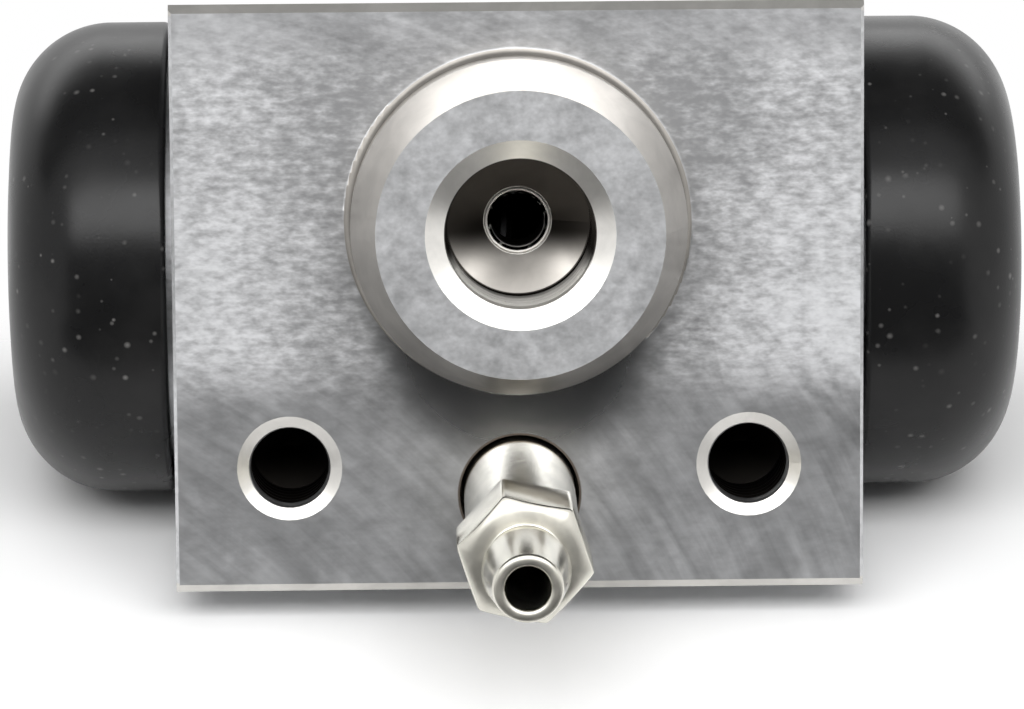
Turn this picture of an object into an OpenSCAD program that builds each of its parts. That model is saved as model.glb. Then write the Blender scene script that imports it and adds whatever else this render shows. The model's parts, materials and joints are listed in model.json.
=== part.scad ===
// Drum brake wheel cylinder with two opposed pistons, in millimetres.
// X runs along the bore, the mounting face is the plane y = 0 and looks towards -Y, +Z is up.
// The origin lies on the mounting face, midway between the two bolt holes.

/* [Body] */
// Length of the body between its two end faces
body_len = 42; // [38:0.5:50]
// Top edge of the mounting face above the bolt line
face_top = 28.3; // [27:0.1:31]
// Bottom edge of the mounting face below the bolt line
face_drop = 7.65; // [6.5:0.05:10]
// Bevel along the top and bottom edges of the mounting face
edge_bevel = 0.5; // [0.2:0.1:1]
// Bevel along the upright edges of the mounting face
end_bevel = 0.2; // [0.1:0.05:0.6]
// Diameter of the round barrel behind the face
barrel_d = 30; // [28:0.5:31]
// Bore axis behind the mounting face
bore_depth = 15; // [14.5:0.1:17]
// Bore axis above the bolt line
bore_rise = 11.2; // [10.5:0.1:12.5]
// Diameter of the cylinder bore
bore_d = 20.64; // [19.05:0.01:21]

/* [Body ends] */
// Diameter of the round collar that carries the boot
collar_d = 25.6; // [24.6:0.1:27]
// Length of the collar beyond the end face
collar_len = 4.2; // [3.6:0.1:6]
// Depth of the collar's groove
groove_depth = 1; // [0.6:0.1:1.4]
// Width of the collar's groove
groove_w = 1.8; // [1.4:0.1:2.2]
// Collar left standing outside its groove
groove_inset = 0.9; // [0.6:0.1:1.4]
// Lead-in chamfer at each end of the bore
bore_chamfer = 0.5; // [0.2:0.1:0.8]

/* [Spigot and inlet port] */
// Spigot axis above the bolt line
spigot_rise = 15; // [13.5:0.1:16.5]
// Diameter of the spigot's straight part
spigot_d = 20.3; // [19:0.1:22]
// Diameter of the spigot's front face
spigot_front_d = 17.3; // [16:0.1:18.5]
// Height of the spigot above the mounting face
spigot_len = 6.9; // [6:0.1:9]
// Length of the spigot's tapered nose
spigot_taper_len = 4; // [2:0.1:4.5]
// Fillet round the foot of the spigot
spigot_fillet = 0.5; // [0.3:0.05:1.2]
// Tapping diameter of the inlet port
port_d = 9; // [8:0.1:10]
// Depth of the port's straight wall below the spigot's front face
port_len = 6.3; // [5.5:0.1:9]
// Mouth diameter of the port's countersink
port_mouth_d = 11.4; // [10.6:0.1:12.5]
// Diameter of the fluid passage into the bore
passage_d = 3.3; // [2.5:0.1:4]
// Countersink of the passage at the bottom of the port
passage_mouth_d = 4.1; // [3.6:0.1:5]

/* [Bolt holes] */
// Distance between the two bolt holes
bolt_spacing = 28; // [26:0.5:32]
// Tapping diameter of the bolt holes
bolt_d = 5; // [4.2:0.1:5.6]
// Depth of the bolt holes' straight wall
bolt_len = 7.5; // [6:0.1:8.2]
// Mouth diameter of the bolt holes' countersink
bolt_mouth_d = 6.4; // [5.8:0.1:7.5]

/* [Bleed screw] */
// Bleed screw's axis below the bolt line, at the mounting face
bleed_drop = 1.75; // [1.5:0.05:2.4]
// Tilt of the bleed screw, nose down from the face's normal
bleed_tilt = 6.7; // [6:0.1:10]
// Diameter of the tapped bleed hole
bleed_hole_d = 7; // [6:0.1:7.2]
// Depth of the tapped bleed hole along its axis
bleed_hole_len = 7.7; // [7:0.1:8.2]
// Diameter of the counterbore at the bleed hole's mouth
bleed_mouth_d = 7.3; // [7.2:0.1:8]
// Depth of that counterbore
bleed_mouth_len = 1.5; // [1:0.1:2.5]
// Mouth diameter of the conical seat
seat_d = 6; // [5:0.1:6]
// Diameter of the bleed passage
bleed_passage_d = 3; // [2.4:0.1:3.4]
// Diameter of the screw's plain shank
shank_d = 6.8; // [5.6:0.1:6.8]
// Length of shank standing out of the face
shank_len = 9.9; // [7:0.1:11]
// Hexagon of the screw across its flats
hex_af = 7.2; // [7:0.1:9]
// Height of the hexagon
hex_len = 4.3; // [3:0.1:5]
// Turn of the hexagon about the screw's axis
hex_turn = 12; // [0:1:59]
// Diameter of the circle where the hexagon's chamfer ends
hex_face_d = 6.2; // [6:0.1:6.4]
// Length of the hose nipple
nipple_len = 5.2; // [4.5:0.1:7]
// Diameter of the nipple's neck
nipple_neck_d = 4.5; // [4.2:0.1:4.8]
// Diameter of the nipple's hose ridge
nipple_ridge_d = 5.3; // [5:0.1:5.8]
// Diameter of the nipple's tip
nipple_tip_d = 4.1; // [3.8:0.1:4.5]
// Diameter of the drilling through the screw
screw_bore_d = 2.6; // [1.8:0.1:2.8]
// Diameter of the cross drilling above the screw's cone
cross_bore_d = 1.4; // [1:0.1:1.6]

/* [Pistons] */
// Length of the piston's land in the bore
land_len = 11; // [9:0.5:13]
// Land's outer end inside the collar's end
land_inset = 2.4; // [1.5:0.1:4]
// Diameter of the piston's nose
nose_d = 13; // [12:0.1:14]
// Nose's end inside the boot's outer end
nose_inset = 0.9; // [0.6:0.1:1.6]
// Depth of the boot groove round the nose
nose_groove_depth = 0.6; // [0.4:0.1:0.8]
// Width of the boot groove round the nose
nose_groove_w = 1.6; // [1.4:0.1:2]
// Nose left standing outside its groove
nose_groove_inset = 1; // [0.6:0.1:1.4]
// Width of the slot for the brake shoe's web
slot_w = 6; // [4.6:0.1:7]
// Depth of that slot
slot_len = 5; // [4.4:0.1:5.2]

/* [Seals and spring] */
// Length of a cup seal over its lip
cup_len = 5; // [4:0.1:6]
// Thickness of a cup seal's floor
cup_floor = 2; // [1.5:0.1:2.5]
// Thickness of a cup seal's lip
cup_lip = 1.5; // [1.2:0.1:2]
// Sheet thickness of a cup expander
expander_sheet = 0.8; // [0.6:0.1:1]
// Height of the expander's rim
expander_rim = 1.8; // [1.4:0.1:2.4]
// Wire diameter of the return spring
wire_d = 1.1; // [0.8:0.05:1.2]
// Full turns of the return spring
spring_turns = 6; // [5:1:8]

/* [Boots] */
// Reach of the boots beyond the body's end faces
boot_reach = 10.4; // [9.8:0.1:13]
// Rubber thickness of the boots
boot_wall = 1.9; // [1.6:0.1:2.2]
// Outer radius of the boot's rounded shoulder
boot_shoulder = 6.2; // [5:0.1:6.2]
// Height of the rolled rim round the boot's hole
boot_roll = 0.1; // [0.1:0.05:0.5]
// Rubber thickness of the lip that holds the piston's nose
boot_lip = 1.4; // [1:0.1:2]
// Gap between the left boot and the body's end face
boot_gap_left = 0.4; // [0.1:0.05:0.6]
// Gap between the right boot and the body's end face
boot_gap_right = 0.2; // [0.1:0.05:0.6]

/* [Clearances] */
// Radial clearance of a piston in the bore
piston_fit = 0.04; // [0.02:0.01:0.08]
// Radial clearance of a cup seal in the bore
cup_fit = 0.06; // [0.03:0.01:0.1]
// Clearance round an expander and between the spring and its seats
seat_fit = 0.1; // [0.05:0.01:0.2]
// Clearance of a boot on the collar
boot_fit = 0.1; // [0.05:0.01:0.2]
// Clearance of a boot on the piston's nose
nose_fit = 0.15; // [0.1:0.01:0.25]
// Radial clearance of the bleed screw's thread
thread_fit = 0.06; // [0.03:0.01:0.1]

/* [Hidden] */
$fn = 96;

// Overlap that lets a cut run clear of the faces that it opens
over = 0.5;
// Slope of a drill's point, half of 118 degrees
drill_half_angle = 59;
// Slope of the port's and bolt holes' countersinks, cut by a 120 degree tool
mouth_slope = 30;
// Slope of the chamfer on the hexagon's front
hex_chamfer_slope = 30;

half_len = body_len / 2;
bore_r = bore_d / 2;
barrel_r = barrel_d / 2;
collar_r = collar_d / 2;
collar_end = half_len + collar_len;
groove_r = collar_r - groove_depth;
groove_start = collar_end - groove_inset - groove_w;

boot_end = half_len + boot_reach;
boot_in_r = collar_r + boot_fit;
boot_r = boot_in_r + boot_wall;
boot_flat = boot_end - boot_roll;

land_end = collar_end - land_inset;
land_start = land_end - land_len;
nose_r = nose_d / 2;
nose_end = boot_end - nose_inset;
nose_groove_start = nose_end - nose_groove_inset - nose_groove_w;
nose_groove_r = nose_r - nose_groove_depth;
nose_hole_r = nose_r + nose_fit;

cup_r = bore_r - cup_fit;
cup_in_r = cup_r - cup_lip;
cup_seat = land_start - cup_floor;
expander_r = cup_in_r - seat_fit;
spring_half = cup_seat - expander_sheet - seat_fit;
spring_r = expander_r - expander_sheet - seat_fit - wire_d / 2;

spigot_straight = spigot_len - spigot_taper_len;
port_floor = spigot_len - port_len;
port_chamfer = (port_mouth_d - port_d) / 2 * tan(mouth_slope);
port_cone_len = (port_d - passage_mouth_d) / 2 / tan(drill_half_angle);
passage_cone_len = (passage_mouth_d - passage_d) / 2;
bolt_point_len = bolt_d / 2 / tan(drill_half_angle);
bolt_chamfer = (bolt_mouth_d - bolt_d) / 2 * tan(mouth_slope);

seat_len = (seat_d - bleed_passage_d) / 2;
bleed_passage_len = (bore_depth + (bore_rise + bleed_drop) * tan(bleed_tilt)) * cos(bleed_tilt);
thread_r = bleed_hole_d / 2 - thread_fit;
tip_r = bleed_passage_d / 2 - 2 * thread_fit;
tip_neck_r = seat_d / 2 - cross_bore_d / 4;
tip_neck_end = bleed_hole_len + seat_d / 2 - tip_neck_r - 2 * thread_fit;
tip_end = tip_neck_end + tip_neck_r - tip_r;
cross_bore_at = bleed_hole_len - cross_bore_d / 2;
thread_start = bleed_hole_len - 1.5 * cross_bore_d;
hex_r = hex_af / sqrt(3);
hex_end = shank_len + hex_len;
hex_chamfer_len = (hex_r - hex_face_d / 2) * tan(hex_chamfer_slope);
nipple_end = hex_end + nipple_len;
nipple_neck_len = nipple_len * 0.2;
nipple_ridge_at = nipple_len * 0.32;
nipple_chamfer = (nipple_tip_d - screw_bore_d) / 6;

aluminium = [0.72, 0.73, 0.74];
anodised = [0.62, 0.62, 0.6];
zinc = [0.82, 0.82, 0.78];
spring_steel = [0.5, 0.51, 0.53];
rubber = [0.1, 0.1, 0.1];

// Places children whose z axis runs along the bore, towards +X
module along_bore() translate([0, bore_depth, bore_rise]) rotate([0, 90, 0]) children();

// Places children whose z axis leaves the mounting face at a height
module out_of_face(rise) translate([0, 0, rise]) rotate([90, 0, 0]) children();

// Places children whose z axis runs outwards along the bleed screw
module along_bleed() translate([0, 0, -bleed_drop]) rotate([90 + bleed_tilt, 0, 0]) children();

// Mirrors right-hand pieces to the left end
module left_end() mirror([1, 0, 0]) children();

// A round tube from one level to another
module tube(outer, inner, low, high) difference() {
    translate([0, 0, low]) cylinder(r = outer, h = high - low);
    translate([0, 0, low - over]) cylinder(r = inner, h = high - low + 2 * over);
}

// Point where the outline's flank from a corner touches the barrel, above or below it
function flank_touch(corner, side) = let (
    centre = [bore_depth, bore_rise],
    away = corner - centre,
    angle = atan2(away[1], away[0]) - side * acos(barrel_r / norm(away))
) centre + barrel_r * [cos(angle), sin(angle)];

// Cross-section of the extruded body: flat face, two flanks and the round barrel
module body_outline() {
    top = [edge_bevel, face_top];
    bottom = [edge_bevel, -face_drop];
    translate([bore_depth, bore_rise]) circle(r = barrel_r);
    polygon([[0, face_top - edge_bevel], top, flank_touch(top, 1), flank_touch(bottom, -1),
             bottom, [0, -face_drop + edge_bevel]]);
}

module body_block() difference() {
    translate([-half_len, 0, 0]) rotate([90, 0, 90]) linear_extrude(body_len) body_outline();
    for (side = [-1, 1])
        translate([side * half_len, 0, (face_top - face_drop) / 2]) rotate([0, 0, 45])
            cube([end_bevel * sqrt(2), end_bevel * sqrt(2), face_top + face_drop + 2 * over], center = true);
}

module collar() difference() {
    translate([0, 0, half_len - over]) cylinder(r = collar_r, h = collar_len + over);
    tube(collar_r + over, groove_r, groove_start, groove_start + groove_w);
}

module spigot() rotate_extrude() difference() {
    union() {
        translate([0, -over]) square([spigot_d / 2, spigot_straight + over]);
        polygon([[0, spigot_straight], [spigot_d / 2, spigot_straight],
                 [spigot_front_d / 2, spigot_len], [0, spigot_len]]);
        translate([0, -over]) square([spigot_d / 2 + spigot_fillet, spigot_fillet + over]);
    }
    translate([spigot_d / 2 + spigot_fillet, spigot_fillet]) circle(r = spigot_fillet);
}

module cylinder_bore() {
    translate([0, 0, -collar_end - over]) cylinder(r = bore_r, h = 2 * (collar_end + over));
    for (turn = [0, 180]) rotate([turn, 0, 0]) translate([0, 0, collar_end - bore_chamfer])
        cylinder(r1 = bore_r, r2 = bore_r + bore_chamfer + over, h = bore_chamfer + over);
}

// Countersink that opens from a hole's diameter to its mouth, and runs clear of the face
module mouth(hole_d, mouth_d, depth) translate([0, 0, -depth])
    cylinder(d1 = hole_d, d2 = mouth_d + 2 * over / tan(mouth_slope), h = depth + over);

module inlet_port() {
    translate([0, 0, port_floor]) cylinder(d = port_d, h = port_len + over);
    translate([0, 0, spigot_len]) mouth(port_d, port_mouth_d, port_chamfer);
    translate([0, 0, port_floor - port_cone_len])
        cylinder(d1 = passage_mouth_d, d2 = port_d, h = port_cone_len);
    translate([0, 0, port_floor - port_cone_len - passage_cone_len])
        cylinder(d1 = passage_d, d2 = passage_mouth_d, h = passage_cone_len);
    translate([0, 0, -bore_depth]) cylinder(d = passage_d, h = bore_depth + port_floor);
}

module bolt_hole() {
    translate([0, 0, -bolt_len]) cylinder(d = bolt_d, h = bolt_len + over);
    mouth(bolt_d, bolt_mouth_d, bolt_chamfer);
    translate([0, 0, -bolt_len - bolt_point_len]) cylinder(r1 = 0, d2 = bolt_d, h = bolt_point_len);
}

module bleed_hole() {
    translate([0, 0, -bleed_hole_len]) cylinder(d = bleed_hole_d, h = bleed_hole_len + 2 * over);
    translate([0, 0, -bleed_mouth_len]) cylinder(d = bleed_mouth_d, h = bleed_mouth_len + 2 * over);
    translate([0, 0, -bleed_hole_len - seat_len])
        cylinder(d1 = bleed_passage_d, d2 = seat_d, h = seat_len);
    translate([0, 0, -bleed_passage_len]) cylinder(d = bleed_passage_d, h = bleed_passage_len);
}

module cylinder_body() color(aluminium) difference() {
    union() {
        body_block();
        along_bore() collar();
        left_end() along_bore() collar();
        out_of_face(spigot_rise) spigot();
    }
    along_bore() cylinder_bore();
    out_of_face(spigot_rise) inlet_port();
    for (side = [-1, 1]) translate([side * bolt_spacing / 2, 0, 0]) out_of_face(0) bolt_hole();
    along_bleed() bleed_hole();
}

module piston() color(anodised) along_bore() difference() {
    union() {
        translate([0, 0, land_start]) cylinder(r = bore_r - piston_fit, h = land_len);
        translate([0, 0, land_end - over]) cylinder(r = nose_r, h = nose_end - land_end + over);
    }
    tube(nose_r + over, nose_groove_r, nose_groove_start, nose_groove_start + nose_groove_w);
    translate([-nose_r - over, -slot_w / 2, nose_end - slot_len])
        cube([nose_d + 2 * over, slot_w, slot_len + over]);
}

module cup_seal() color(rubber) along_bore() difference() {
    translate([0, 0, land_start - cup_len]) cylinder(r = cup_r, h = cup_len);
    translate([0, 0, land_start - cup_len - over]) cylinder(r = cup_in_r, h = cup_len - cup_floor + over);
}

module cup_expander() color(zinc) along_bore() {
    translate([0, 0, cup_seat - expander_sheet]) cylinder(r = expander_r, h = expander_sheet);
    tube(expander_r, expander_r - expander_sheet, cup_seat - expander_rim, cup_seat - expander_sheet / 2);
}

// Height of the spring's wire after a number of turns: one closed turn at each end
function wire_level(turn) = let (
    low = wire_d / 2 - spring_half,
    closed = wire_d + seat_fit / 2,
    open = (-2 * low - 2 * closed) / (spring_turns - 2)
) low + closed * min(turn, 1) + open * min(max(turn - 1, 0), spring_turns - 2)
      + closed * max(turn - spring_turns + 1, 0);

module return_spring() {
    rings = 16 * spring_turns;
    sides = 8;
    points = [for (i = [0 : rings], k = [0 : sides - 1])
        let (angle = 360 * spring_turns * i / rings, wide = spring_r + wire_d / 2 * cos(360 * k / sides))
        [wide * cos(angle), wide * sin(angle),
         wire_level(spring_turns * i / rings) + wire_d / 2 * sin(360 * k / sides)]];
    faces = concat(
        [[for (k = [0 : sides - 1]) k]],
        [[for (k = [0 : sides - 1]) rings * sides + sides - 1 - k]],
        [for (i = [0 : rings - 1], k = [0 : sides - 1], half = [0, 1])
            let (next = (k + 1) % sides, near = i * sides, far = near + sides)
            half == 0 ? [near + k, far + k, far + next] : [near + k, far + next, near + next]]);
    color(spring_steel) along_bore() polyhedron(points, faces);
}

// Half section of a boot, radius along x and bore axis along y
module boot_section(gap) {
    arc_r = boot_r - boot_shoulder;
    arc_at = boot_flat - boot_shoulder;
    roll_r = (arc_r - nose_hole_r) / 2;
    difference() {
        union() {
            translate([0, half_len + gap]) square([boot_r, arc_at - half_len - gap]);
            translate([0, arc_at]) square([arc_r, boot_shoulder]);
            intersection() {
                translate([arc_r, arc_at]) circle(r = boot_shoulder);
                translate([0, arc_at]) square([boot_r, boot_shoulder]);
            }
            translate([nose_hole_r + roll_r, boot_end - roll_r]) circle(r = roll_r);
        }
        square([boot_in_r, arc_at]);
        intersection() {
            translate([arc_r, arc_at]) circle(r = boot_shoulder - boot_wall);
            translate([0, arc_at - over]) square([boot_r, boot_shoulder]);
        }
        translate([0, arc_at - over]) square([arc_r, boot_shoulder - boot_wall + over]);
        square([nose_hole_r, boot_end + over]);
    }
    translate([groove_r + boot_fit, groove_start + boot_fit])
        square([boot_in_r - groove_r, groove_w - 2 * boot_fit]);
    translate([nose_groove_r + nose_fit, nose_groove_start + nose_fit])
        square([nose_hole_r - nose_groove_r, nose_groove_w - 2 * nose_fit]);
    translate([nose_hole_r, nose_groove_start + nose_fit])
        square([boot_lip, boot_flat - boot_wall / 2 - nose_groove_start - nose_fit]);
}

module boot(gap) color(rubber) along_bore() rotate_extrude() boot_section(gap);

module bleed_screw() color(zinc) along_bleed() difference() {
    union() {
        translate([0, 0, -thread_start]) cylinder(r = thread_r, h = thread_start - bleed_mouth_len);
        translate([0, 0, -tip_neck_end]) cylinder(r = tip_neck_r, h = tip_neck_end);
        translate([0, 0, -tip_end]) cylinder(r1 = tip_r, r2 = tip_neck_r, h = tip_end - tip_neck_end);
        translate([0, 0, -bleed_mouth_len - over]) cylinder(d = shank_d, h = bleed_mouth_len + shank_len + 2 * over);
        intersection() {
            translate([0, 0, shank_len]) rotate([0, 0, -hex_turn]) cylinder(r = hex_r, h = hex_len, $fn = 6);
            rotate_extrude() polygon([[0, shank_len - over], [hex_r + over, shank_len - over],
                [hex_r + over, hex_end - hex_chamfer_len - over * tan(hex_chamfer_slope)], [hex_face_d / 2, hex_end],
                [0, hex_end]]);
        }
        rotate_extrude() polygon([[0, hex_end - over], [nipple_neck_d / 2, hex_end - over],
            [nipple_neck_d / 2, hex_end + nipple_neck_len], [nipple_ridge_d / 2, hex_end + nipple_ridge_at],
            [nipple_tip_d / 2, nipple_end - nipple_chamfer],
            [nipple_tip_d / 2 - nipple_chamfer, nipple_end], [0, nipple_end]]);
    }
    translate([0, 0, -cross_bore_at]) cylinder(d = screw_bore_d, h = cross_bore_at + nipple_end + over);
    translate([0, 0, nipple_end - nipple_chamfer])
        cylinder(d1 = screw_bore_d, d2 = screw_bore_d + 4 * nipple_chamfer, h = 2 * nipple_chamfer);
    translate([-thread_r, 0, -cross_bore_at]) rotate([0, 90, 0]) cylinder(d = cross_bore_d, h = 2 * thread_r);
}

cylinder_body();
left_end() piston();  // piston_left
piston();  // piston_right
left_end() cup_seal();  // cup_seal_left
cup_seal();  // cup_seal_right
left_end() cup_expander();  // cup_expander_left
cup_expander();  // cup_expander_right
return_spring();
left_end() boot(boot_gap_left);  // boot_left
boot(boot_gap_right);  // boot_right
bleed_screw();
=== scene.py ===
import json
import math

import bpy
from mathutils import Matrix, Vector


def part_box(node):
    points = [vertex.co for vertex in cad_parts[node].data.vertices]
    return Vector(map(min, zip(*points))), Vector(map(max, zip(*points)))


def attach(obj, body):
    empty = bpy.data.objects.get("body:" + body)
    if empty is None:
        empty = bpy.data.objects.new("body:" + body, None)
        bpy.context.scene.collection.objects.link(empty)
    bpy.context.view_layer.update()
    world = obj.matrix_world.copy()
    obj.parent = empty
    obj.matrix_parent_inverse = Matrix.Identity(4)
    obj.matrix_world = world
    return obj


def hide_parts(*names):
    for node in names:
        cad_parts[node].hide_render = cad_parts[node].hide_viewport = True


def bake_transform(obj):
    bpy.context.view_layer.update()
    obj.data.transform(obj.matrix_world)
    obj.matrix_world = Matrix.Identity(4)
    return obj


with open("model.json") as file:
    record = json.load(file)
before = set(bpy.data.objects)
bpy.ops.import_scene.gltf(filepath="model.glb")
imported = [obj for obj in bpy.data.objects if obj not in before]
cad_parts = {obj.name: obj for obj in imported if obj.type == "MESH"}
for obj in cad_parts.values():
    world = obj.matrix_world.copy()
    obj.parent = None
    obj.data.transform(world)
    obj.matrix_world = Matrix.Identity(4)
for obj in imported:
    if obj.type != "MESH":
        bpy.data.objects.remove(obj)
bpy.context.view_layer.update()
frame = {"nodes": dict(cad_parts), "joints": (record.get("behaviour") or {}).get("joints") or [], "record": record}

bl_info = {
    "name": "Wheel cylinder dressing",
    "version": (1, 0, 0),
    "blender": (4, 5, 0),
    "location": "View3D > Sidebar > Wheel cylinder",
    "description": "Dresses the packed drum brake wheel cylinder with finishes, rubber, threads and stage",
    "category": "Object",
}

MM = 0.001
NODES = frame["nodes"]
BORE_Y, BORE_Z = [sum(corner[i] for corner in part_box("piston_right")) / 2 for i in (1, 2)]
BLEED_JOINT = next(joint for joint in frame["joints"] if joint["name"] == "bleed_turn")
MOUNTS = {mount["name"]: mount for mount in frame["record"]["mounts"]}
SPIGOT_Z = MOUNTS["inlet_port"]["pos_m"][2]
PORT_R = MOUNTS["inlet_port"]["dims"]["r_mm"] * MM
BOLT_X = MOUNTS["mounting_holes"]["dims"]["spacing_x_mm"] * MM / 2
BOLT_R = MOUNTS["mounting_holes"]["dims"]["hole_r_mm"] * MM


def metres(name, text, millimetres):
    return bpy.props.FloatProperty(
        name=name, description=text, default=millimetres * MM, unit="LENGTH", precision=5)


def colour(name, text, value):
    return bpy.props.FloatVectorProperty(
        name=name, description=text, default=value, size=3, min=0, max=1, subtype="COLOR")


def number(name, text, value, **extra):
    return bpy.props.FloatProperty(name=name, description=text, default=value, **extra)


class BootSizes(bpy.types.PropertyGroup):
    outer: metres("Outer radius", "Radius of the boot over the collar", 14.8)
    seat: metres("Seat radius", "Inner radius of the boot on the collar", 12.9)
    shoulder: metres("Shoulder radius", "Radius of the boot's rounded shoulder", 6.2)
    wall: metres("Wall", "Rubber thickness", 1.9)
    hole: metres("Hole radius", "Radius of the hole for the piston's nose", 6.65)
    bead: metres("Bead radius", "Inner radius of the bead in the nose's groove", 6.05)
    rim: metres("Rim height", "Height of the rolled rim round the hole", 0.1)
    edge: metres("Edge rounding", "Rounding of the edge beside the body", 0.45)
    groove: metres("Groove place", "Distance of the bead's outer side from the middle of the bore", 29.35)
    bead_width: metres("Bead width", "Width of the bead in the nose's groove", 1.3)
    lip: metres("Lip", "Rubber round the hole, behind the bead", 1.4)


class BleedScrewSizes(bpy.types.PropertyGroup):
    seat: metres("Seat radius", "Radius of the sealing cone's end", 1.4)
    seat_end: metres("Seat end", "Place of the sealing cone's end along the screw", -8.9)
    relief: metres("Relief radius", "Radius of the plain part behind the sealing cone", 2.65)
    relief_start: metres("Relief start", "Place where the sealing cone meets the plain part", -7.7)
    thread_start: metres("Thread start", "Place of the thread's inner end", -5.4)
    thread_end: metres("Thread end", "Place of the thread's outer end", -1.6)
    thread: metres("Thread radius", "Radius of the threaded part", 3.44)
    shank: metres("Shank radius", "Radius of the plain shank", 3.4)
    shank_end: metres("Shank end", "Distance of the hexagon's back from the mounting face", 9.9)
    flats: metres("Across flats", "Width of the hexagon across its flats", 7.2)
    hexagon_end: metres("Hexagon end", "Distance of the hexagon's front from the mounting face", 14.2)
    hexagon_face: metres("Hexagon face radius", "Radius where the hexagon's chamfer ends", 3.1)
    neck: metres("Neck radius", "Radius of the nipple's neck", 2.25)
    neck_end: metres("Neck end", "Distance of the neck's end from the mounting face", 15.24)
    ridge: metres("Ridge radius", "Radius of the nipple's hose ridge", 2.65)
    ridge_at: metres("Ridge place", "Distance of the hose ridge from the mounting face", 15.86)
    tip: metres("Tip radius", "Radius of the nipple's tip", 2.05)
    tip_end: metres("Tip end", "Distance of the nipple's end from the mounting face", 19.4)
    bore: metres("Bore radius", "Radius of the drilling", 1.3)
    bore_end: metres("Bore end", "Place where the drilling's point begins", -4.0)
    turn: number("Hexagon turn", "Turn of the hexagon about the screw's axis",
                 math.radians(-12), subtype="ANGLE")


class Finishes(bpy.types.PropertyGroup):
    milled: colour("Milled aluminium", "Colour of the milled faces", (0.635, 0.64, 0.65))
    turned: colour("Turned aluminium", "Warmer colour of the turned spigot and chamfers", (0.56, 0.53, 0.49))
    mouth: colour("Countersinks", "Bright colour of the freshly cut countersinks", (0.86, 0.84, 0.8))
    # The inlet port's dark colour is painted shade inside the port.
    port: colour("Inlet port", "Colour of the oily thread of the inlet port", (0.05, 0.045, 0.04))
    # bleed_gap: the brown given to the wall of the hole round the bleed screw
    bleed_gap: colour("Grime", "Brown of the oil left round the bleed screw", (0.22, 0.18, 0.15))
    # The drilled colour is painted shade deep in the holes and in the bore.
    drilled: colour("Drilled holes", "Dark oily colour deep in the drilled holes", (0.03, 0.027, 0.024))
    zinc: colour("Zinc plate", "Colour of the plated bleed screw", (0.7, 0.68, 0.61))
    rubber: colour("Boot rubber", "Colour of the boots", (0.007, 0.007, 0.0072))
    dust: colour("Dust", "Colour of dust and scuffs on the rubber", (0.35, 0.34, 0.33))
    anodised: colour("Piston", "Colour of the pistons", (0.5, 0.5, 0.48))
    # The spring wire is dark by itself and darkened further as painted shade, so it stays black inside the closed
    # bore.
    wire: colour("Spring wire", "Colour of the oiled return spring", (0.06, 0.06, 0.062))


class StageSettings(bpy.types.PropertyGroup):
    floor_slope: number("Floor slope", "Slope of the floor that the body's barrel lies on",
                        math.radians(21), subtype="ANGLE")
    floor_gap: metres("Floor gap", "Gap between the body's lower front edge and the floor", 2.97)
    ambient: number("Ambient", "Strength of the soft light from all round", 0.2, min=0)
    key_power: number("Key power", "Power of the softbox above the camera", 3.05, min=0, unit="POWER")
    top_power: number("Top power", "Power of the overhead softbox that lights the floor", 3.1,
                      min=0, unit="POWER")
    panel_power: number("Panel power", "Power of the light panel above and behind the part", 1.6,
                        min=0, unit="POWER")
    card_tone: number("Card tone", "Brightness of the dark cards that only gloss shows", 0.04, min=0)
    lens: number("Lens", "Focal length of the camera", 196.54, unit="CAMERA")


# Meshes

def lay_axis(origin, along, across):
    """Matrix whose z axis runs along a direction and whose x axis lies nearest to another."""
    along = Vector(along).normalized()
    side = along.cross(Vector(across)).normalized()
    across = side.cross(along)
    return Matrix((
        (across.x, side.x, along.x, origin[0]),
        (across.y, side.y, along.y, origin[1]),
        (across.z, side.z, along.z, origin[2]),
        (0, 0, 0, 1)))


BORE_RIGHT = lay_axis((0, BORE_Y, BORE_Z), (1, 0, 0), (0, 0, 1))
BORE_LEFT = lay_axis((0, BORE_Y, BORE_Z), (-1, 0, 0), (0, 0, 1))
BLEED_AXIS = lay_axis(BLEED_JOINT["pos_m"], BLEED_JOINT["axis"], (1, 0, 0))


def round_corners(corners, closed=False, steps=6):
    """Points of an outline whose corners, each (radius, along, rounding), are replaced by arcs."""
    points = []
    count = len(corners)
    for i, (r, a, rounding) in enumerate(corners):
        here = Vector((r, a))
        if not rounding or (not closed and i in (0, count - 1)):
            points.append(here)
            continue
        back = Vector(corners[i - 1][:2]) - here
        ahead = Vector(corners[(i + 1) % count][:2]) - here
        half = back.angle(ahead) / 2
        reach = min(rounding / math.tan(half), 0.49 * back.length, 0.49 * ahead.length)
        radius = reach * math.tan(half)
        centre = here + (back.normalized() + ahead.normalized()).normalized() * radius / math.sin(half)
        start = here + back.normalized() * reach - centre
        end = here + ahead.normalized() * reach - centre
        for k in range(steps + 1):
            mix = start.lerp(end, k / steps).normalized() * radius
            points.append(centre + mix)
    return points


def arc_points(r, along, radius, angles):
    """Points of an outline's arc about a centre."""
    return [Vector((r + radius * math.cos(a), along + radius * math.sin(a))) for a in angles]


def add_mesh(name, points, faces, sharp=math.radians(35)):
    mesh = bpy.data.meshes.new(name)
    mesh.from_pydata(points, [], faces)
    mesh.validate()
    mesh.shade_smooth()
    mesh.set_sharp_from_angle(angle=sharp)
    piece = bpy.data.objects.new(name, mesh)
    bpy.context.scene.collection.objects.link(piece)
    return piece


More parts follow.
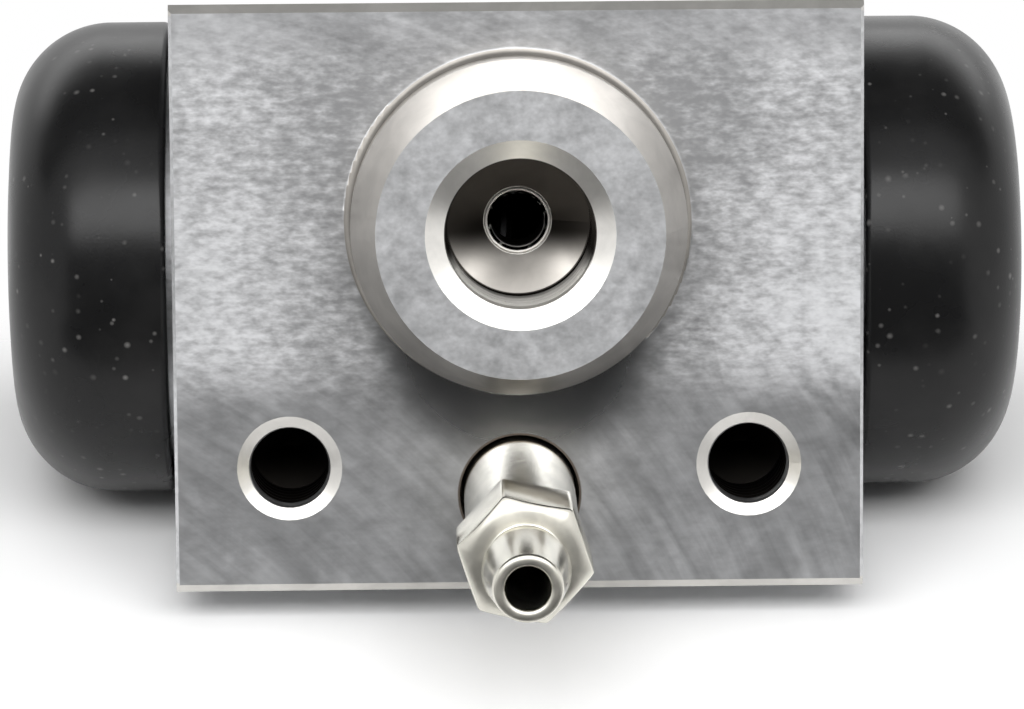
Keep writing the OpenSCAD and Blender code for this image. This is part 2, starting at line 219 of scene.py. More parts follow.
def loft_rings(name, rings, place, closed=False):
    """Skin over rings of points given in the frame of an axis, with capped ends unless the rings close."""
    count = len(rings[0])
    points = [place @ Vector(p) for ring in rings for p in ring]
    faces = []
    for i in range(len(rings) - (0 if closed else 1)):
        low, high = i * count, (i + 1) % len(rings) * count
        for k in range(count):
            n = (k + 1) % count
            faces.append((low + k, low + n, high + n, high + k))
    if not closed:
        faces.append(tuple(reversed(range(count))))
        faces.append(tuple(range((len(rings) - 1) * count, len(rings) * count)))
    return add_mesh(name, points, faces)


def circle_ring(radius, along, count):
    return [(radius * math.cos(2 * math.pi * k / count), radius * math.sin(2 * math.pi * k / count), along)
            for k in range(count)]


def sweep_tube(name, centres, wire, sides=10):
    """Round wire along a list of points."""
    rings = []
    for i, point in enumerate(centres):
        ahead = centres[min(i + 1, len(centres) - 1)] - centres[max(i - 1, 0)]
        place = lay_axis(point, ahead, (1, 0, 0))
        rings.append([place @ Vector(p) for p in circle_ring(wire, 0, sides)])
    return loft_rings(name, rings, Matrix())


def thread_ridge(name, place, radius, height, low, high, count=72):
    """Helical ridge on the wall of a tapped hole, tapered away at both ends."""
    pitch, foot, crown, sunk = 1.0 * MM, 0.27, 0.06, 0.02 * MM
    turns = (high - low) / pitch
    steps = int(turns * count)
    rings = []
    for i in range(steps + 1):
        angle = 2 * math.pi * i / count
        fade = min(1, i / (count / 3), (steps - i) / (count / 3))
        crest = radius - height * max(fade, 0.02)
        along = low + pitch * i / count
        half = foot * pitch * max(fade, 0.05)
        flat = crown * pitch * max(fade, 0.05)
        outline = [(radius + sunk, -half), (crest, -flat), (crest, flat), (radius + sunk, half)]
        rings.append([(r * math.cos(angle), r * math.sin(angle), along + a) for r, a in outline])
    return loft_rings(name, rings, place)


# Materials

class Wiring:
    """Adds nodes to a tree; a value that is a socket is linked, any other is set."""

    def __init__(self, tree):
        self.tree = tree
        tree.nodes.clear()

    def put(self, kind, inputs=(), **settings):
        node = self.tree.nodes.new("ShaderNode" + kind)
        for key, value in settings.items():
            setattr(node, key, value)
        for key, value in dict(inputs).items():
            self.feed(node.inputs[key], value)
        return node

    def feed(self, socket, value):
        if isinstance(value, bpy.types.NodeSocket):
            self.tree.links.new(value, socket)
        else:
            socket.default_value = value

    def math(self, operation, a, b=0.0, c=0.0, clamp=False):
        return self.put("Math", {0: a, 1: b, 2: c}, operation=operation, use_clamp=clamp).outputs[0]

    def times(self, *values):
        product = values[0]
        for value in values[1:]:
            product = self.math("MULTIPLY", product, value)
        return product

    def within(self, value, limit, soft=0.1):
        """One below a limit, falling to zero just above it."""
        return self.step(value, limit, limit + soft, 1.0, 0.0)

    def beyond(self, value, limit, soft=0.1):
        return self.step(value, limit - soft, limit)

    def weigh(self, start, *terms):
        """Adds to a start value the swing of each (value, gain) about one half."""
        total = start
        for value, gain in terms:
            total = self.math("ADD", total, self.times(self.math("SUBTRACT", value, 0.5), gain))
        return total

    def step(self, value, low, high, to_low=0.0, to_high=1.0):
        return self.put("MapRange", {"Value": value, "From Min": low, "From Max": high,
                                     "To Min": to_low, "To Max": to_high},
                        interpolation_type="SMOOTHSTEP").outputs["Result"]

    def mix(self, factor, a, b, blend="MIX"):
        node = self.put("Mix", data_type="RGBA", blend_type=blend, clamp_factor=True)
        colours = [s for s in node.inputs if s.type == "RGBA"]
        self.feed(node.inputs[0], factor)
        for socket, value in zip(colours, (a, b)):
            self.feed(socket, value)
        return next(s for s in node.outputs if s.type == "RGBA")

    def scaled(self, vector, scale):
        return self.put("VectorMath", {0: vector, 1: scale}, operation="MULTIPLY").outputs[0]

    def lengthened(self, vector, factor):
        return self.put("VectorMath", {0: vector, "Scale": factor}, operation="SCALE").outputs[0]

    def shifted(self, vector, shift):
        return self.put("VectorMath", {0: vector, 1: shift}, operation="SUBTRACT").outputs[0]

    def length(self, vector):
        return self.put("VectorMath", {0: vector}, operation="LENGTH").outputs["Value"]

    def dot(self, vector, direction):
        return self.put("VectorMath", {0: vector, 1: direction}, operation="DOT_PRODUCT").outputs["Value"]

    def about_axis(self, place, point, axis):
        """Distances along an axis through a point and away from it."""
        away = self.shifted(place, point)
        along = self.dot(away, axis)
        return along, self.length(self.shifted(away, self.lengthened(axis, along)))

    def noise(self, vector, scale, detail=2.0, roughness=0.5, distortion=0.0):
        return self.put("TexNoise", {"Vector": vector, "Scale": scale, "Detail": detail,
                                     "Roughness": roughness, "Distortion": distortion}).outputs["Fac"]

    def apart(self, vector):
        return self.put("SeparateXYZ", {0: vector}).outputs

    def place_mm(self):
        """Place on the part in millimetres, and the surface's direction there."""
        coordinates = self.put("TexCoord")
        per_mm = (1 / MM, 1 / MM, 1 / MM)
        return self.scaled(coordinates.outputs["Object"], per_mm), coordinates.outputs["Normal"]


def rgba(value):
    return (*value, 1.0)


def shade(base, factor):
    return (*[min(channel * factor, 1.0) for channel in base], 1.0)


def new_group(name, inputs, outputs):
    group = bpy.data.node_groups.new(name, "ShaderNodeTree")
    wiring = Wiring(group)
    for direction, sockets in (("INPUT", inputs), ("OUTPUT", outputs)):
        for label, kind, value in sockets:
            socket = group.interface.new_socket(label, in_out=direction, socket_type="NodeSocket" + kind)
            if value is not None:
                socket.default_value = value
    source = group.nodes.new("NodeGroupInput")
    sink = group.nodes.new("NodeGroupOutput")
    return group, wiring, source.outputs, sink.inputs


def make_streaks_group():
    """Short streaks left by a cutter, stretched by the scale of each axis."""
    group, w, given, out = new_group(
        "Cutter streaks",
        [("Place", "Vector", None), ("Stretch", "Vector", (0.8, 3.5, 3.5)), ("Fine", "Float", 3.0)],
        [("Streaks", "Float", None), ("Mottle", "Float", None)])
    stretched = w.scaled(given["Place"], given["Stretch"])
    coarse = w.noise(stretched, 1.0, 2.0, 0.5)
    fine = w.noise(w.lengthened(stretched, given["Fine"]), 1.0, 2.0, 0.55)
    coarse_share = 0.66
    w.feed(out["Streaks"], w.math("ADD", w.times(coarse, coarse_share), w.times(fine, 1 - coarse_share)))
    w.feed(out["Mottle"], w.noise(given["Place"], 0.35, 4.0, 0.6, 0.4))
    return group


def make_clouds_group():
    """Broad soft clouds of a plating or of worn rubber."""
    group, w, given, out = new_group(
        "Soft clouds", [("Place", "Vector", None), ("Scale", "Float", 0.5), ("Detail", "Float", 3.0),
                        ("Roughness", "Float", 0.55)], [("Clouds", "Float", None)])
    w.feed(out["Clouds"], w.noise(given["Place"], given["Scale"], given["Detail"], given["Roughness"]))
    return group


def make_specks_group():
    """Scattered dust specks; the share is the part of the cells that hold one."""
    group, w, given, out = new_group(
        "Dust specks",
        [("Place", "Vector", None), ("Spacing", "Float", 1.2), ("Size", "Float", 0.12),
         ("Share", "Float", 0.3)],
        [("Specks", "Float", None)])
    scale = w.math("DIVIDE", 1.0, given["Spacing"])
    cells = w.put("TexVoronoi", {"Vector": given["Place"], "Scale": scale}, voronoi_dimensions="3D")
    chance = w.apart(cells.outputs["Color"])
    kept = w.math("LESS_THAN", chance[0], given["Share"])
    reach = w.math("MULTIPLY", w.math("MULTIPLY", given["Size"], scale), w.math("ADD", chance[1], 0.3))
    near = w.math("SUBTRACT", 1.0, w.math("DIVIDE", cells.outputs["Distance"], reach), clamp=True)
    w.feed(out["Specks"], w.math("MULTIPLY", near, kept))
    return group


GROUPS = {}


def group_node(wiring, key, inputs):
    return wiring.put("Group", inputs, node_tree=GROUPS[key]).outputs


def new_material(name):
    material = bpy.data.materials.new(name)
    material.use_nodes = True
    wiring = Wiring(material.node_tree)
    surface = wiring.put("BsdfPrincipled")
    wiring.put("OutputMaterial", {"Surface": surface.outputs[0]})
    return material, wiring, surface.inputs


def bump(wiring, height, strength, distance):
    node = wiring.put("Bump", {"Height": height, "Strength": strength, "Distance": distance})
    return node.outputs["Normal"]


def face_tone(w, place, streaks):
    """Tone of the milled face: flaky streaks in its middle, and arcs left by the cutter."""
    x, _, z = w.apart(place)
    low_edge, high_edge = (2.5, 8.0), (23.0, 26.5)
    flaky = w.times(w.step(z, *low_edge), w.step(z, *high_edge, 1.0, 0.3))
    outer = w.step(w.math("ABSOLUTE", x), 9.0, 18.0, -0.28, 0.32)
    cut_across, cut_along, bend = (0.75, 0, 0.66), (-0.66, 0, 0.75), 0.011
    across = w.dot(place, cut_across)
    lengthways = w.dot(place, cut_along)
    swept = w.math("ADD", across, w.times(lengthways, lengthways, bend))
    drawn_out = w.put("CombineXYZ", {0: swept, 1: w.times(lengthways, 0.06)}).outputs[0]
    lines = w.noise(drawn_out, 0.9, 4.0, 0.6)
    band_at, band_edge, band_end = 16.5, (0.25, 0.6), (-2.6, -1.6)
    from_band = w.math("ABSOLUTE", w.math("SUBTRACT", across, band_at))
    band = w.times(w.step(from_band, *band_edge, 1.0, 0.0), w.step(lengthways, *band_end, 1.0, 0.0))
    patch_slope, patch_side = 0.235, (13.55, 13.75)
    patch_low, patch_high = (3.0, 5.5), (10.0, 11.5)
    patch = w.times(w.step(w.math("MULTIPLY_ADD", z, patch_slope, x), *patch_side),
                    w.step(z, *patch_high, 1.0, 0.0), w.step(z, *patch_low))
    tone = w.weigh(0.39, (streaks["Streaks"], w.math("MULTIPLY_ADD", flaky, 2.6, 0.6)),
                   (streaks["Mottle"], 1.0), (lines, w.math("MULTIPLY_ADD", flaky, -0.5, 1.1)))
    # Painted shade: the upper part of the face is darkened, and the darkening eases off again at its top edge.
    painted_shade_band = w.math("SUBTRACT", w.step(z, 13.0, 22.0, 0.0, 0.34), w.step(z, 23.5, 26.5, 0.0, 0.4))
    tone = w.math("ADD", tone, w.math("SUBTRACT", w.times(outer, flaky), painted_shade_band))
    tone = w.math("ADD", tone, w.math("SUBTRACT", w.times(patch, 0.2), w.times(band, 0.25)))
    return flaky, w.step(tone, -0.55, 1.45)


def body_zones(w, place, normal):
    """Masks of the body's differently cut surfaces and of its painted light and shade; places, radii and depths
    are in millimetres.
    """
    spigot_z, port_r, bolt_r = SPIGOT_Z / MM, PORT_R / MM, BOLT_R / MM
    spigot_r, foot_r, mouth_r, bolt_mouth_r = 11.3, 11.0, 6.2, 3.4
    bleed_r, passage_r, rim_r, bore_r = 3.72, 1.72, 2.07, 10.6
    mouth_depth, bolt_mouth_depth, sill_depth, foot_height = -6.0, 0.42, -2.2, 0.55
    cone_start, cone_end, rim_start, rim_end = -0.75, 1.4, 0.85, 1.32
    passage_end, bolt_end, bleed_end = 6.0, 9.0, -11.0
    face_middle, bevel_from, bevel_depth = 10.3, 17.4, 0.52
    # shadow_film: a smoother patch below the spigot whose darker colour is a painted shadow
    shadow_film_z, shadow_film_start, shadow_film_end = 9.0, 5.9, 10.2
    out, along_bore = (0, -1, 0), (1, 0, 0)

    x, y, z = w.apart(place)
    facing = w.within(w.apart(normal)[1], -0.985, 0.02)
    slanted = w.math("SUBTRACT", 1.0, facing)
    side = w.put("CombineXYZ", {0: w.math("ABSOLUTE", x), 1: y, 2: z}).outputs[0]
    from_spigot = w.about_axis(place, (0, 0, spigot_z), out)[1]
    from_shadow_film = w.about_axis(place, (0, 0, shadow_film_z), out)[1]
    from_bolt = w.about_axis(side, (BOLT_X / MM, 0, 0), out)[1]
    from_bore = w.about_axis(place, (0, BORE_Y / MM, BORE_Z / MM), along_bore)[1]
    from_middle = w.math("ABSOLUTE", w.math("SUBTRACT", z, face_middle))
    bleed_out, from_bleed = w.about_axis(
        place, Vector(BLEED_JOINT["pos_m"]) / MM, Vector(BLEED_JOINT["axis"]))

    on_face = w.times(facing, w.beyond(y, -0.2))
    before_face = w.within(y, -0.02, 0.02)
    in_port = w.within(from_spigot, port_r + 0.03, 0.04)
    on_cone = w.times(w.within(from_spigot, port_r - 0.25, 0.06), w.beyond(y, cone_start),
                      w.within(y, cone_end))
    by_bleed = w.times(w.within(from_bleed, bleed_r), w.beyond(bleed_out, bleed_end))
    zones = {
        "face": on_face,
        # oil: painted shadow, a darker and glossier crescent below the spigot
        "oil": w.times(on_face, w.step(from_shadow_film, shadow_film_start, shadow_film_end, 0.97, 0.0)),
        "turned": w.times(slanted, w.within(from_spigot, spigot_r), before_face),
        "port_mouth": w.times(slanted, w.within(from_spigot, mouth_r), w.within(y, mouth_depth)),
        "bolt_mouths": w.times(slanted, w.within(from_bolt, bolt_mouth_r), w.within(y, bolt_mouth_depth)),
        # port: painted shade, the inside of the inlet port made dark
        "port": w.times(in_port, w.within(y, cone_end)),
        # port_sill_painted_light: painted light, the bright cut colour on the port's lower wall near its mouth
        "port_sill_painted_light": w.times(in_port, w.within(y, sill_depth, 1.4), w.within(z, spigot_z - 2.6, 1.6)),
        # cone: painted light, the lower part of the drill cone made lighter while its upper part keeps the port's
        # painted shade
        "cone": w.times(on_cone, w.within(z, spigot_z - 2.4, 1.9)),
        # foot: painted shade, the root of the spigot made darker as well as duller
        "foot": w.times(slanted, w.within(from_spigot, foot_r), w.beyond(y, -foot_height), before_face),
        "bleed_wall": by_bleed,
        # edge: the bevels get the bright cut colour, which is partly a painted highlight along them
        "edge": w.times(slanted, w.within(y, bevel_depth, 0.05), w.beyond(y, 0.0, 0.05),
                        w.beyond(from_middle, bevel_from)),
        "passage_edge": w.times(w.within(from_spigot, rim_r, 0.03), w.beyond(y, rim_start),
                                w.within(y, rim_end)),
    }
    passage = w.times(w.within(from_spigot, passage_r, 0.05), w.step(y, 1.25, 2.0), w.within(y, passage_end))
    in_bolt = w.times(w.within(from_bolt, bolt_r + 0.06, 0.05), w.step(y, 0.35, 2.2), w.within(y, bolt_end))
    in_bleed = w.times(by_bleed, w.step(bleed_out, -1.5, -0.5, 0.95, 0.0))
    in_bore = w.times(w.within(from_bore, bore_r), 0.9)
    # Painted shade: the passage, the bolt holes, the deep bleed hole and the bore are darkened towards the drilled
    # colour.
    dark = passage
    for hole in (in_bolt, in_bleed, in_bore):
        dark = w.math("MAXIMUM", dark, hole)
    zones["dark"] = dark
    return zones


def make_body_material(finish):
    material, w, surface = new_material("body_milled_aluminium")
    place, normal = w.place_mm()
    zone = body_zones(w, place, normal)
    streaks = group_node(w, "streaks", {"Place": place, "Stretch": (0.9, 1.7, 1.9), "Fine": 2.4})
    fine = group_node(w, "streaks", {"Place": place, "Stretch": (1.2, 1.4, 1.5), "Fine": 2.5})
    flaky, tone_on_face = face_tone(w, place, streaks)
    tone = w.mix(zone["face"], w.weigh(0.4, (fine["Streaks"], 1.2), (fine["Mottle"], 0.8)), tone_on_face)
    mottle = w.step(fine["Mottle"], 0.3, 0.7)
    colour_out = w.mix(tone, shade(finish.milled, 0.6), shade(finish.milled, 1.3))
    rough = w.weigh(w.step(flaky, 0.0, 1.0, 0.4, 0.53), (tone, 0.1))
    for name, base, factor, roughness in (
            # foot: the turned colour darkened to 0.6 is painted shade at the spigot's root
            ("turned", finish.turned, 1.0, 0.28), ("foot", finish.turned, 0.6, 0.5),
            ("port_mouth", finish.mouth, 1.0, 0.34), ("bolt_mouths", finish.mouth, 0.75, 0.36),
            # oil: the milled colour darkened to 0.75 is a painted shadow below the spigot
            # port: painted shade inside the inlet port
            ("oil", finish.milled, 0.75, 0.2), ("port", finish.port, 1.0, 0.3),
            # port_sill_painted_light and cone: painted light on the port's lower wall and lower drill cone
            ("port_sill_painted_light", finish.mouth, 1.0, 0.5), ("cone", finish.turned, 1.0, 0.28),
            ("passage_edge", finish.mouth, 1.0, 0.55), ("bleed_wall", finish.bleed_gap, 1.0, 0.4),
            # edge: bright cut colour on the bevels, partly a painted highlight
            ("edge", finish.mouth, 0.72, 0.45)):
        clouded = w.mix(mottle, shade(base, 0.92 * factor), shade(base, 1.08 * factor))
        colour_out = w.mix(zone[name], colour_out, clouded)
        rough = w.math("ADD", rough, w.times(zone[name], w.math("SUBTRACT", roughness, rough)))
    # The dark masks take the drilled colour, painted shade in the holes.
    w.feed(surface["Base Color"], w.mix(zone["dark"], colour_out, rgba(finish.drilled)))
    surface["Metallic"].default_value = 1.0
    w.feed(surface["Roughness"], rough)
    w.feed(surface["Normal"], bump(w, w.times(tone, zone["face"]), 0.15, 0.00002))
    return material


def make_rubber_material(name, finish, dusty):
    material, w, surface = new_material(name)
    place, _ = w.place_mm()
    specks = group_node(w, "specks", {"Place": place, "Spacing": 0.75, "Size": 0.2, "Share": dusty})["Specks"]
    cloud = group_node(
        w, "clouds", {"Place": place, "Scale": 0.12, "Detail": 4.0, "Roughness": 0.6})["Clouds"]
    haze = w.step(cloud, 0.45, 0.75, 0.0, 0.015)
    base = w.mix(haze, rgba(finish.rubber), rgba(finish.dust))
    clusters = group_node(
        w, "clouds", {"Place": place, "Scale": 0.22, "Detail": 2.0, "Roughness": 0.5})["Clouds"]
    clustered = w.times(specks, w.step(clusters, 0.42, 0.62, 0.05, 0.4))
    w.feed(surface["Base Color"], w.mix(clustered, base, rgba(finish.dust)))
    grain = w.noise(place, 6.0, 3.0, 0.6)
    surface["Specular IOR Level"].default_value = 0.23
    w.feed(surface["Roughness"], w.step(cloud, 0.3, 0.7, 0.24, 0.34))
    w.feed(surface["Normal"], bump(w, grain, 0.15, 0.00003))
    return material


def make_zinc_material(finish):
    material, w, surface = new_material("zinc_plated_steel")
    place, normal = w.place_mm()
    cloud = group_node(w, "clouds", {"Place": place, "Scale": 0.5})["Clouds"]
    faced = w.step(w.dot(normal, Vector(BLEED_JOINT["axis"])), 0.6, 0.95, 0.0, 0.26)
    tint = w.mix(w.step(cloud, 0.35, 0.65), shade(finish.zinc, 0.9), shade(finish.zinc, 1.1))
    w.feed(surface["Base Color"], tint)
    surface["Metallic"].default_value = 1.0
    w.feed(surface["Roughness"], w.math("ADD", faced, w.step(cloud, 0.3, 0.7, 0.2, 0.27)))
    return material


def make_metal_material(name, base, roughness):
    material, w, surface = new_material(name)
    place, _ = w.place_mm()
    cloud = group_node(w, "clouds", {"Place": place, "Scale": 1.2})["Clouds"]
    w.feed(surface["Base Color"], w.mix(w.step(cloud, 0.3, 0.7), shade(base, 0.88), shade(base, 1.1)))
    surface["Metallic"].default_value = 1.0
    w.feed(surface["Roughness"], w.step(cloud, 0.3, 0.7, roughness, roughness + 0.12))
    return material


def give(piece, material):
    piece.data.materials.clear()
    piece.data.materials.append(material)


def dress_node(name, material):
    node = NODES[name]
    for slot in node.material_slots:
        slot.material = material


# Operators

class PieceOperator:
    bl_options = {"REGISTER", "UNDO"}

    @property
    def finish(self):
        return bpy.context.scene.wheel_cylinder_finishes


class WHEELCYL_OT_body(PieceOperator, bpy.types.Operator):
    """Gives the cylinder body its milled, turned and drilled finishes, with painted shade in its holes and port,
    below its spigot and at the spigot's root, and painted light in the port and on its bevels
    """
    bl_idname = "wheelcyl.body"
    bl_label = "Cylinder body"

    def execute(self, context):
        dress_node("cylinder_body", make_body_material(self.finish))
        return {"FINISHED"}


class WHEELCYL_OT_boots(PieceOperator, bpy.types.Operator):
    """Turns the two rubber boots, reaching from the collar to the piston"""
    bl_idname = "wheelcyl.boots"
    bl_label = "Rubber boots"

    def execute(self, context):
        size = context.scene.wheel_cylinder_boots
        material = make_rubber_material("boot_satin_rubber", self.finish, 0.55)
        for side, place, sign in (("left", BORE_LEFT, -1), ("right", BORE_RIGHT, 1)):
            low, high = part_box("boot_" + side)
            reach = sorted((abs(low[0]), abs(high[0])))
            outline = self.outline(size, *reach)
            rings = [circle_ring(r, a, 192) for r, a in outline]
            boot = loft_rings("boot_rubber_" + side, rings, place, closed=True)
            give(boot, material)
            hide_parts("boot_" + side)
            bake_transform(boot)
        return {"FINISHED"}

    def outline(self, size, start, end):
        flat = end - size.rim
        arc_r = size.outer - size.shoulder
        arc_at = flat - size.shoulder
        roll = (arc_r - size.hole) / 2
        straight, quarter = start + 2 * MM, math.pi / 2
        points = round_corners([
            (size.seat, straight, 0), (size.seat, start, size.edge), (size.outer, start, size.edge),
            (size.outer, straight, 0)])
        points += arc_points(arc_r, arc_at, size.shoulder, [quarter * k / 33 for k in range(1, 33)])
        dip = math.asin(min(1, (roll - size.rim) / roll))
        points += arc_points(size.hole + roll, end - roll, roll,
                             [dip + (math.pi - dip) * k / 16 for k in range(17)])
        inner = flat - size.wall
        behind = size.groove - size.bead_width
        points += [Vector(p) for p in (
            (size.hole, size.groove), (size.bead, size.groove), (size.bead, behind),
            (size.hole + size.lip, behind), (size.hole + size.lip, inner))]
        depth = size.shoulder - size.wall
        points += arc_points(arc_r, arc_at, depth, [quarter * (1 - k / 12) for k in range(13)])
        return points


class WHEELCYL_OT_bleed_screw(PieceOperator, bpy.types.Operator):
    """Turns the bleed screw with its hexagon and hose nipple"""
    bl_idname = "wheelcyl.bleed_screw"
    bl_label = "Bleed screw"

    def execute(self, context):
        size = context.scene.wheel_cylinder_bleed_screw
        count = 240
        angles = [2 * math.pi * k / count for k in range(count)]

        def hexagon(angle):
            power, flat = 60, size.flats / 2
            across = [math.cos(angle - size.turn - math.radians(30 + 60 * i)) / flat for i in range(6)]
            return sum(max(0, share) ** power for share in across) ** (-1 / power)

        def ring(radius_along):
            return [(r * math.cos(a), r * math.sin(a), s) for a, (r, s) in zip(angles, radius_along)]

        def turned(corners):
            return [circle_ring(r, a, count) for r, a in round_corners(corners, steps=4)]

        slope = math.tan(math.radians(30))
        edge, step = 0.1 * MM, 0.2 * MM
        corners = [hexagon(a) for a in angles]
        cut = [size.hexagon_end - (r - size.hexagon_face) * slope for r in corners]
        back = turned([
            (1.0 * MM, size.seat_end, 0), (size.seat, size.seat_end, edge),
            (size.relief, size.relief_start, edge), (size.relief, size.thread_start - step, 0),
            (size.thread, size.thread_start, edge),
            (size.thread, size.thread_end, edge), (size.shank, size.thread_end + step, 0),
            (size.shank, size.shank_end - step, 0), (size.shank, size.shank_end, 0)])
        hexagon_rings = [
            ring([(r - edge, size.shank_end) for r in corners]),
            ring([(r, size.shank_end + edge) for r in corners]),
            ring([(r, s - edge) for r, s in zip(corners, cut)]),
            ring([(r - edge, s + edge * slope) for r, s in zip(corners, cut)])]
        front = turned([
            (size.hexagon_face, size.hexagon_end - 0.02 * MM, 0),
            (size.neck, size.hexagon_end, 0.2 * MM), (size.neck, size.neck_end, 0.25 * MM),
            (size.ridge, size.ridge_at, 0.2 * MM), (size.tip, size.tip_end, 0.36 * MM),
            (size.bore, size.tip_end, 0.3 * MM), (size.bore, size.tip_end - 1.0 * MM, 0),
            (size.bore, size.bore_end, 0), (0.3 * MM, size.bore_end - 0.5 * MM, 0)])
        screw = loft_rings("bleed_screw_turned", back + hexagon_rings + front, BLEED_AXIS)
        give(screw, make_zinc_material(self.finish))
        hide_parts("bleed_screw")
        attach(screw, "bleed_valve")
        return {"FINISHED"}


class WHEELCYL_OT_inner_pieces(PieceOperator, bpy.types.Operator):
    """Finishes the pistons, cup seals and expanders"""
    bl_idname = "wheelcyl.inner_pieces"
    bl_label = "Pistons and seals"

    def execute(self, context):
        piston = make_metal_material("piston_anodised", self.finish.anodised, 0.35)
        expander = make_metal_material("expander_zinc", self.finish.zinc, 0.25)
        seal = make_rubber_material("seal_smooth_rubber", self.finish, 0.0)
        for side in ("left", "right"):
            dress_node("piston_" + side, piston)
            dress_node("cup_expander_" + side, expander)
            dress_node("cup_seal_" + side, seal)
        return {"FINISHED"}


class WHEELCYL_OT_spring(PieceOperator, bpy.types.Operator):
    """Winds the return spring in two halves, each wound out from the middle towards its piston"""
    bl_idname = "wheelcyl.spring"
    bl_label = "Return spring"

    def execute(self, context):
        low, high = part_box("return_spring")
        half = high[0]
        wire, closed = 0.55 * MM, 1.15 * MM
        turns, open_turns, steps = 3, 2, 40
        opened = (half - wire - closed) / open_turns
        radius = (high[2] - low[2]) / 2 - wire
        # The wire's dark colour is partly painted shade inside the bore.
        material = make_metal_material("spring_drawn_wire", self.finish.wire, 0.5)
        for side, sign in (("left", -1), ("right", 1)):
            points = []
            for i in range(turns * steps + 1):
                turn = i / steps
                level = opened * min(turn, open_turns) + closed * max(turn - open_turns, 0)
                angle = sign * 2 * math.pi * turn
                points.append(Vector((sign * level, BORE_Y + radius * math.sin(angle),
                                      BORE_Z + radius * math.cos(angle))))
            piece = sweep_tube("spring_half_" + side, points, wire)
            give(piece, material)
            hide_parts("return_spring")
            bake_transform(piece)
        return {"FINISHED"}


class WHEELCYL_OT_threads(PieceOperator, bpy.types.Operator):
    """Adds the threads of the inlet port and bolt holes, and the rim of the fluid passage"""
    bl_idname = "wheelcyl.threads"
    bl_label = "Threads"

    def execute(self, context):
        material = NODES["cylinder_body"].material_slots[0].material
        port = lay_axis((0, 0, SPIGOT_Z), (0, -1, 0), (1, 0, 0))
        ridges = [thread_ridge("thread_port", port, PORT_R, height=0.16 * MM, low=-0.2 * MM, high=5.2 * MM)]
        radius, depth, wire = 1.93 * MM, 0.93 * MM, 0.11 * MM
        around = [2 * math.pi * k / 12 for k in range(12)]
        rim = [circle_ring(radius + wire * math.cos(a), -depth + wire * math.sin(a), 96) for a in around]
        ridges.append(loft_rings("passage_rim", rim, port, closed=True))
        for side, sign in (("left", -1), ("right", 1)):
            hole = lay_axis((sign * BOLT_X, 0, 0), (0, -1, 0), (1, 0, 0))
            ridges.append(thread_ridge("thread_bolt_" + side, hole, BOLT_R,
                                       height=0.13 * MM, low=-7.2 * MM, high=-0.5 * MM))
        for ridge in ridges:
            give(ridge, material)
            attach(ridge, "housing")
        return {"FINISHED"}


